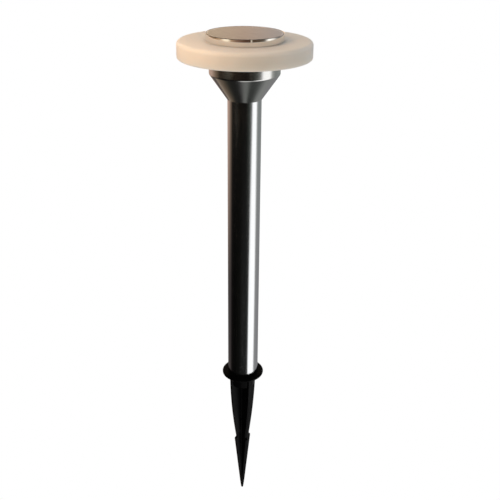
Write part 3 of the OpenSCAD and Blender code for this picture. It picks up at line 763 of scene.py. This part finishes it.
# chip resistors: a black-glazed block with a tinned cap folded round each end
row_foot, row_size = seat("resistors")
resistor_w, resistor_l, resistor_pitch = 1.2, 1.9, 2.4
end_l, end_y = 0.45, 0.78
glaze_side = rounded([(-0.05, 0), (0, 0.05), (0, 0.47), (-0.05, 0.5), (-0.3, 0.5)])
cap_side = rounded([(-0.03, 0), (0, 0.05), (0, 0.5), (-0.05, 0.54), (-0.2, 0.54)])
glazed, tinned = [], []
for step in range(4):
    foot = row_foot + [(resistor_w - row_size[0]) / 2 + resistor_pitch * step, 0, 0]
    glazed.append(block_grid(resistor_w, resistor_l, 0.08, glaze_side) + foot)
    end_cap = block_grid(resistor_w + 0.04, end_l, 0.1, cap_side) + foot
    tinned += [end_cap - [0, end_y, 0], end_cap + [0, end_y, 0]]
dress(surface("resistor_bodies", glazed, False), chip_resin, "module", "chip_resin", "resistors")
dress(surface("resistor_end_caps", tinned, False), nickel, "module", "nickel_plate")

# inductor: a ferrite bobbin, seven turns of enamelled copper wire between its flanges
bobbin_foot, bobbin_size = seat("inductor")
bobbin_r, bobbin_h = bobbin_size[0] / 2, bobbin_size[2]
core, flange, copper_d, copper_turns = 2.4, 1.0, 0.4, 7
dimple_r, dimple = 0.7, 0.3
bobbin_corners = [
    (0, 0),
    (bobbin_r, 0, 0.2),
    (bobbin_r, flange, 0.2),
    (core, flange + 0.1),
    (core, bobbin_h - flange - 0.1),
    (bobbin_r, bobbin_h - flange, 0.2),
    (bobbin_r, bobbin_h, 0.2),
    (dimple_r + dimple, bobbin_h, 0.2),
    (dimple_r, bobbin_h - dimple),
    (0, bobbin_h - dimple),
]
bobbin = turned_grid(rounded(bobbin_corners), 64) + bobbin_foot
dress(
    surface("inductor_ferrite", [bobbin], False),
    smooth_body("ferrite", "#3c3d40", "#47484b", 0.45), "module", "ferrite", "inductor",
)
turns = np.linspace(0, copper_turns, copper_turns * 32 + 1)
coil = helix(turns, core + copper_d / 2, flange + copper_d / 2 + copper_d * turns)
winding = carried(coil, circle(copper_d / 2, 10), (0, 0, 1)) + bobbin_foot
dress(
    surface("inductor_winding", [winding], False),
    bare_metal("copper_enamelled", "#b8683a", 0.3), "module", "wire_insulation",
)


def shrink_sleeve(name, tone, mark, limit):
    """PVC sleeve shrunk on with hot air: taut and glossy, with one plain pale stripe where y < limit."""
    material, tree, shader, place = new_material(name)
    y = put(tree, "ShaderNodeSeparateXYZ", {"Vector": place}).outputs["Y"]
    striped = put(tree, "ShaderNodeMath", {0: y, 1: limit * mm}, operation="LESS_THAN")
    waves = put(tree, "ShaderNodeTexNoise", {"Vector": place, "Scale": 1 / (3 * mm), "Detail": 1.0})
    relief = {"Height": waves.outputs["Fac"], "Strength": 0.2, "Distance": 0.05 * mm}
    bump = put(tree, "ShaderNodeBump", relief)
    look = {
        "Base Color": ramp(tree, striped.outputs["Value"], [(0.0, tone), (0.5, mark)], "CONSTANT"),
        "Roughness": 0.25,
        "Normal": bump.outputs["Normal"],
    }
    put(tree, shader, look)
    return material


# capacitor: an aluminium can, crimped near its foot, its sunk top scored with a cross to vent
can_foot, can_size = seat("capacitor")
can_r, can_h = can_size[0] / 2, can_size[2]
sunk = can_h - 0.2
crimp_z, crimp = 1.4, 0.4
can_corners = [
    (0, 0),
    (can_r, 0, 0.25),
    (can_r, crimp_z - crimp, 0.2),
    (can_r - crimp, crimp_z, 0.2),
    (can_r, crimp_z + crimp, 0.2),
    (can_r, can_h, 0.35),
    (can_r - 0.7, can_h, 0.15),
    (can_r - 0.8, sunk),
    (0, sunk),
]
can = turned_grid(rounded(can_corners), 64) + can_foot
sleeve_blue = shrink_sleeve("capacitor_sleeve", "#1d2e52", "#b9bec6", can_foot[1] - 0.8 * can_r)
dress(surface("capacitor_can", [can], False), sleeve_blue, "module", "capacitor_sleeve", "capacitor")

# its bare lid stands on the sunk top: the cross is cut score * exp(-(d / score) ** 2) deep at a
# distance d from its nearer arm, and the first two rows are the lid's foot
vent_r, lid, score = can_r - 0.78, 0.14, 0.12
spokes = np.linspace(0, 2 * np.pi, 64, endpoint=False)
ray = np.concatenate([[0, vent_r], np.linspace(vent_r, 0, 24)])[:, None]
vent_x, vent_y = ray * np.cos(spokes), ray * np.sin(spokes)
cut = score * np.exp(-((np.minimum(abs(vent_x), abs(vent_y)) / score) ** 2))
cut[:2] = lid + 0.06
vent = np.stack([vent_x, vent_y, sunk + lid - cut], -1) + can_foot
dress(surface("capacitor_vent", [vent], False), nickel, "module", "nickel_plate")


# ------------------------ battery and its tube
# Black ABS tray with a long tube that hangs into the pole's mouth and takes one round cell. A cap
# with a bayonet and a coin slot closes it, and carries a disc and a conical spring.

coat(bush_black, "battery_tray", "battery_cap")
cell_foot, cell_size = seat("battery_cell")
cell_r, cell_h = cell_size[0] / 2, cell_size[2]
nub_r, nub_h = 2.75, 1.3
shoulder = cell_h - nub_h
groove_z, groove_half, groove = shoulder - 2.7, 0.5, 0.35
wrap_corners = [
    (cell_r - 1.2, 0.25),
    (cell_r - 1.0, 0, 0.1),
    (cell_r, 0, 0.5),
    (cell_r, groove_z - groove_half, 0.3),
    (cell_r - groove, groove_z, 0.3),
    (cell_r, groove_z + groove_half, 0.3),
    (cell_r, shoulder, 0.5),
    (cell_r - 1.8, shoulder, 0.1),
    (cell_r - 1.9, shoulder - 0.25),
]
wrap = turned_grid(rounded(wrap_corners), 96) + cell_foot
cell_green = smooth_body("cell_sleeve", "#5f8a3a", "#587f36", 0.3)
dress(surface("cell_sleeve", [wrap], True), cell_green, "module", "battery_sleeve", "battery_cell")
end_r, end_low, end_high = cell_r - 1.1, 0.1, 0.4
can_end = [(0, end_low), (end_r, end_low, 0.1), (end_r, end_high), (0, end_high)]
crown_r, crown_low, crown_top = cell_r - 1.85, shoulder - 0.5, shoulder - 0.2
terminal = [
    (0, crown_low),
    (crown_r, crown_low),
    (crown_r, crown_top, 0.1),
    (nub_r, crown_top, 0.2),
    (nub_r, cell_h, 0.3),
    (0, cell_h),
]
ends = [turned_grid(rounded(corners), 64) + cell_foot for corners in (can_end, terminal)]
dress(surface("cell_ends", ends, False), nickel, "module", "nickel_plate")

# spring: five turns of 0.7 mm wire wound on a cone, its first and last turns close to flat
spring_foot, spring_size = seat("battery_spring")
spring_turns, spring_wire = 5, 0.35
spring_low_r, spring_high_r = 6.4, 4.0
share = np.linspace(0, 1, spring_turns * 40 + 1)
closed = 1 / spring_turns
lift = np.interp(share, [0, closed, 1 - closed, 1], [0, 0.05, 0.95, 1])
lift *= spring_size[2] - 2 * spring_wire
spring_r = spring_low_r + (spring_high_r - spring_low_r) * share
spring_path = helix(spring_turns * share, spring_r, spring_foot[2] + spring_wire + lift)
spring = carried(spring_path, circle(spring_wire), (0, 0, 1))
dress(
    surface("battery_spring_coil", [spring], False),
    nickel, "cell_cap", "nickel_plate", "battery_spring",
)


# ------------------------ wires
# Stranded copper in PVC insulation, one red and one black wire in each pair, soldered at both ends.


def pvc_pair(name, axis, below, above):
    """PVC insulation, extruded smooth. The pair's two wires lie to the two sides of the light's axis.

    The one where the coordinate `axis` is negative has the colour below, the other the colour above.
    """
    material, tree, shader, place = new_material(name)
    along = put(tree, "ShaderNodeSeparateXYZ", {"Vector": place}).outputs[axis]
    side = put(tree, "ShaderNodeMath", {0: along, 1: 0.0}, operation="GREATER_THAN")
    tone = ramp(tree, side.outputs["Value"], [(0.0, below), (0.5, above)], "CONSTANT")
    put(tree, shader, {"Base Color": tone, "Roughness": 0.35, "IOR": 1.53})
    return material


straight = 0.3


def bend(start, end, leave, arrive):
    """Route from start, heading along leave, to end, along arrive, with a straight at each end.

    Between the straights' ends a and b it is
    (1 - t)^3 a + 3 t (1 - t)^2 (a + leave) + 3 t^2 (1 - t) (b - arrive) + t^3 b.
    """
    start, end, leave, arrive = (np.array(v, float) for v in (start, end, leave, arrive))
    a = start + straight * leave / np.linalg.norm(leave)
    b = end - straight * arrive / np.linalg.norm(arrive)
    t = np.linspace(0, 1, 24)[:, None]
    curve = (1 - t) ** 3 * a + 3 * t * (1 - t) ** 2 * (a + leave)
    curve += 3 * t**2 * (1 - t) * (b - arrive) + t**3 * b
    return np.concatenate([start[None], curve, end[None]])


wire_r, lamp_wire_r = 0.5, 0.45
red, black = "#a8241e", "#191919"
across = pvc_pair("pvc_pair_across", "Y", black, red)
along = pvc_pair("pvc_pair_along", "X", red, black)

# joints of the wires, as (x, y): tabs under the panel and in the tray, pads on the control board
panel_tabs, panel_pads = [(9, -1.1), (9, 1.1)], [(9.5, -3.5), (9.5, 3.5)]
tray_tabs, battery_pads = [(-3.7, 0), (8.85, 0)], [(-8, 4), (13, -4)]
panel_low = seat("panel_board")[0][2]
tray_tab_z = seat("switch_frame")[0][2] + 1.4
lamp_x, lamp_y = -13.2, 1.6
drum_x, drum_y, drum_z = -seat("led_board")[1][0] / 2 - lamp_wire_r, 2.6, diode_z - 2.6
panel_pair, lamp_pair, battery_pair = [], [], []
for tab, pad in zip(panel_tabs, panel_pads):
    drop = bend((*tab, panel_low), (*pad, board_top), (0, 0, -6), (0, 0, -6))
    panel_pair.append(carried(drop, circle(wire_r), (1, 0, 0)))
for side in (-1, 1):
    foot = (lamp_x - straight, lamp_y * side, board_top + 0.6)
    climb = bend(foot, (drum_x, drum_y * side, drum_z), (-4.5, 0, 0), (0, 0, 1.4))
    lamp_pair.append(carried(climb, circle(lamp_wire_r), (0, 1, 0)))
for tab, pad, way in zip(tray_tabs, battery_pads, (-2.6, 2.6)):
    climb = bend((*tab, tray_tab_z), (*pad, board_low), (way, 0, 0), (0, 0, 2.2))
    battery_pair.append(carried(climb, circle(wire_r), (0, 1, 0)))
for name, pair, insulation, stands_for in (
    ("panel_pair", panel_pair, across, "panel_wires"),
    ("lamp_pair", lamp_pair, across, "led_wires"),
    ("battery_pair", battery_pair, along, "battery_wires"),
):
    dress(surface(name, pair, False), insulation, "module", "wire_insulation", stands_for)

# solder fillets where the wires reach the board, on top for the panel and lamp, below for the battery
fillet = turned_grid(rounded([(0, 0), (1.0, 0), (0.66, 0.3, 0.4), (0.58, 0.7, 0.1), (0, 0.8)]), 24)
lamp_pads = [(lamp_x, -lamp_y), (lamp_x, lamp_y)]
solder = [fillet + [*pad, board_top] for pad in panel_pads + lamp_pads]
solder += [fillet * [1, -1, -1] + [*pad, board_low] for pad in battery_pads]
tin = bare_metal("solder_tin", "#c9ccd0", 0.25)
dress(surface("solder_fillets", solder, False), tin, "module", "nickel_plate")


# ------------------------ studio
# Not part of the light: a pale floor, soft lamps, the room that polished steel mirrors, the camera.

floor_z = (tip_z - 0.5) * mm
floor_half = 4.0
floor_mesh = bpy.data.meshes.new("floor")
floor_corners = np.array([(-1, -1), (1, -1), (1, 1), (-1, 1)]) * floor_half
floor_mesh.from_pydata([(x, y, floor_z) for x, y in floor_corners], [], [(0, 1, 2, 3)])
floor = bpy.data.objects.new("floor", floor_mesh)
scene.collection.objects.link(floor)
floor_paint = bpy.data.materials.new("floor_white")
floor_paint.use_nodes = True
tree = floor_paint.node_tree
tree.nodes.remove(tree.nodes["Principled BSDF"])
seen = put(tree, "ShaderNodeLightPath").outputs["Is Camera Ray"]
lit = put(tree, "ShaderNodeBsdfDiffuse", {"Color": linear("#f4f3f1")})
glow = put(tree, "ShaderNodeEmission", {"Color": (1, 1, 1, 1), "Strength": 1.0})
both = put(tree, "ShaderNodeMixShader", {0: seen, 1: lit.outputs[0], 2: glow.outputs[0]})
put(tree, tree.nodes["Material Output"], {"Surface": both.outputs[0]})
floor_mesh.materials.append(floor_paint)
floor.visible_glossy = False

camera_side = math.radians(-120)
aim = Vector((0, 0, 0.3))


def lamp(name, side, distance, height, size, power, tone):
    """Square area lamp, `side` degrees to the right of the camera, aimed below the head.

    No shiny surface mirrors it.
    """
    light = bpy.data.lights.new(name, "AREA")
    light.shape = "SQUARE"
    light.size = size
    light.energy = power
    light.color = linear(tone)[:3]
    holder = bpy.data.objects.new(name, light)
    scene.collection.objects.link(holder)
    angle = camera_side + math.radians(side)
    place = Vector((distance * math.cos(angle), distance * math.sin(angle), height))
    holder.location = place
    holder.rotation_mode = "QUATERNION"
    holder.rotation_quaternion = (aim - place).to_track_quat("-Z", "Y")
    holder.visible_glossy = False


lamp("key_warm", -58, 0.29, 0.49, 0.35, 0.33, "#ffcb9c")
lamp("overhead", -90, 0.05, 1.2, 0.7, 0.25, "#e6efff")
lamp("glow_left", -55, 0.14, 0.45, 0.08, 0.08, "#ffd2aa")
lamp("fill_right", 105, 1.6, 0.4, 1.0, 4.2, "#e4edff")
lamp("bounce", -20, 0.25, -0.1, 0.3, 0.45, "#fff0e2")

world = bpy.data.worlds.new("room")
scene.world = world
world.use_nodes = True
tree = world.node_tree
direction = put(tree, "ShaderNodeTexCoord").outputs["Generated"]
facing = put(tree, "ShaderNodeMapping", {"Vector": direction, "Rotation": (0, 0, -camera_side)})
ring = put(tree, "ShaderNodeTexGradient", {"Vector": facing.outputs["Vector"]}, gradient_type="RADIAL")
height = put(tree, "ShaderNodeSeparateXYZ", {"Vector": direction}).outputs["Z"]
# the cards lean: both numbers are shares of a whole turn, the first for each unit of height
lean_turn, lean_start = -0.117, -0.028
lean = put(tree, "ShaderNodeMath", {0: height, 1: lean_turn, 2: lean_start}, operation="MULTIPLY_ADD")
leaning = put(tree, "ShaderNodeMath", {0: ring.outputs["Fac"], 1: lean.outputs[0]}, operation="ADD")

# Pale and dark cards stand round the light, as (degrees to the right of the camera, colour). Each
# list is a ring of them, from upper_cards above the horizon to ground_cards almost straight below.
upper_cards = [
    (-180, "#c8ae99"), (-176, "#d6be9f"), (-150, "#a08670"), (-120, "#4d4038"), (-100, "#1c1a19"),
    (60, "#1a1a1a"), (120, "#5a5856"), (150, "#8a8580"), (176, "#b4afac"), (180, "#c8ae99"),
]
wall_cards = [
    (-180, "#94806c"), (-137, "#8a7460"), (-111, "#715943"), (-91, "#806850"), (-76, "#a48c74"),
    (-63, "#d8ccb8"), (-52, "#d8ccb8"), (-42, "#907860"), (-27, "#6c564a"), (-2, "#49352b"),
    (13, "#43342a"), (15, "#b0a698"), (17, "#b0a698"), (19, "#46392f"), (40, "#40362c"),
    (56, "#4a443c"), (64, "#b0aca6"), (70, "#e2e0dc"), (86, "#c4c1bc"), (97, "#8a8682"),
    (107, "#5c5652"), (142, "#5e5856"), (180, "#7a736e"),
]
level_cards = [
    (-180, "#9a8476"), (-131, "#ab9183"), (-105, "#6a5a4c"), (-88, "#1c1a17"), (-70, "#0e0d0c"),
    (-20, "#0b0c0a"), (16, "#111110"), (29, "#272a27"), (43, "#4b4e4b"), (53, "#808080"),
    (61, "#ffffff"), (88, "#ffffff"), (97, "#9a9c9a"), (113, "#757877"), (148, "#7a7d7c"),
    (180, "#585a59"),
]
window_cards = [
    (47, "#555555"), (53, "#ffffff"), (96, "#ffffff"), (104, "#a0a0a0"), (113, "#808080"),
    (140, "#777779"),
]
low_cards = [
    (-180, "#3c3a3a"), (-140, "#464240"), (-104, "#373232"), (-85, "#0e0c0c"), (-60, "#050505"),
    (-20, "#0b0b0a"), (4, "#181818"), (30, "#1a1a1a"), (40, "#2c2c2c"), *window_cards,
    (180, "#6c6c6e"),
]
flank_cards = [
    (-180, "#b0a294"), (-144, "#a89a8b"), (-120, "#75685c"), (-104, "#4a4139"), (-85, "#181614"),
    (-60, "#0a0909"), (30, "#1b1b1b"), *window_cards, (180, "#747674"),
]
steep_cards = [
    (-180, "#b0a294"), (-144, "#a89a8b"), (-120, "#75685c"), (-107, "#5c5045"), (-94, "#433d34"),
    (-85, "#2a2a26"), (-72, "#1a1a1a"), (-2, "#161616"), (10, "#f0f0f0"), (44, "#f0f0f0"),
    (56, "#8a8a8a"), (100, "#808080"), (114, "#363636"), (128, "#363837"), (135, "#4b4e4d"),
    (147, "#7c7e7d"), (157, "#727472"), (180, "#6d6f6e"),
]
ground_cards = [
    (-180, "#2c2a28"), (-85, "#22221f"), (-50, "#1b1b1b"), (-36, "#2c2c2c"), (-22, "#404040"),
    (-7, "#565656"), (36, "#666866"), (80, "#626462"), (90, "#505250"), (97, "#343635"),
    (112, "#2c2e2d"), (126, "#323433"), (136, "#505250"), (180, "#6a6c6a"),
]


def cards(stops, place=leaning.outputs[0]):
    """Colour in a direction from a ring of cards. The camera's own direction is half a turn."""
    return ramp(tree, place, [(0.5 + angle / 360, tone) for angle, tone in stops])


def change(value, start, end, first, second):
    """Colour that is first where value is start, second where it is end, and a blend between them.

    Sockets 6 and 7 of a Mix node are its two colours, and output 2 is the colour between them.
    """
    share = put(tree, "ShaderNodeMapRange", {"Value": value, "From Min": start, "From Max": end})
    colours = {0: share.outputs["Result"], 6: first, 7: second}
    return put(tree, "ShaderNodeMix", colours, data_type="RGBA").outputs[2]


level = cards(level_cards)
room = level
# from start to end, as heights of the direction's unit vector, the room turns to the next colour
for start, end, colour in (
    (0.0, 0.15, cards(upper_cards, ring.outputs["Fac"])),
    (0.3, 0.5, linear("#222222")),
    (-0.14, -0.158, cards(wall_cards)),
    (-0.178, -0.188, level),
    (-0.27, -0.46, cards(low_cards)),
    (-0.57, -0.61, cards(flank_cards)),
    (-0.68, -0.74, cards(steep_cards)),
    (-0.90, -0.94, cards(ground_cards)),
):
    room = change(height, start, end, room, colour)
# straight behind the light, where a ring's two ends meet below the horizon, they fade into one grey
seam = 0.03
ends = ramp(tree, ring.outputs["Fac"], [(0.0, 1.0), (seam, 0.0), (1 - seam, 0.0), (1.0, 1.0)])
faded = change(ends, 0, 1, room, linear("#837c76"))
room = change(height, 0.02, -0.02, room, faded)
room_light = put(tree, "ShaderNodeVectorMath", {0: room, "Scale": 1.8}, operation="SCALE")

# matt surfaces are lit by softer cards, only shiny ones mirror the room, and the camera sees white
soft_light = [
    (-180, "#cac6c2"), (-110, "#d8d0c8"), (-50, "#d8cdc2"), (-10, "#aaa49c"), (45, "#a8a8a8"),
    (110, "#a6abae"), (180, "#cac6c2"),
]
rays = put(tree, "ShaderNodeLightPath").outputs
direct = put(tree, "ShaderNodeMath", {0: rays["Diffuse Depth"], 1: 0.5}, operation="LESS_THAN")
glossy = {0: rays["Is Glossy Ray"], 1: direct.outputs[0]}
mirrored = put(tree, "ShaderNodeMath", glossy, operation="MULTIPLY")
plain = change(rays["Is Camera Ray"], 0, 1, cards(soft_light, ring.outputs["Fac"]), (1, 1, 1, 1))
shown = change(mirrored.outputs[0], 0, 1, plain, room_light.outputs[0])
put(tree, tree.nodes["Background"], {"Color": shown, "Strength": 1.0})

lens_data = bpy.data.cameras.new("camera")
lens_data.lens = 56.12
lens_data.sensor_width = 36
camera = bpy.data.objects.new("camera", lens_data)
scene.collection.objects.link(camera)
scene.camera = camera
camera_distance = 0.7164
camera_rise = 0.1221
camera_pitch = math.radians(25.255)
camera_yaw = math.radians(0.52)
camera_roll = math.radians(0.58)
away = camera_side + math.pi - camera_yaw
camera.location = (
    camera_distance * math.cos(camera_side),
    camera_distance * math.sin(camera_side),
    cap_top * mm + camera_rise,
)
ahead = math.cos(camera_pitch)
forward = Vector((math.cos(away) * ahead, math.sin(away) * ahead, -math.sin(camera_pitch)))
camera.rotation_mode = "QUATERNION"
camera.rotation_quaternion = forward.to_track_quat("-Z", "Y") @ Quaternion((0, 0, 1), camera_roll)
lens_data.clip_start = 0.01
lens_data.clip_end = 50
scene.view_settings.view_transform = "Standard"
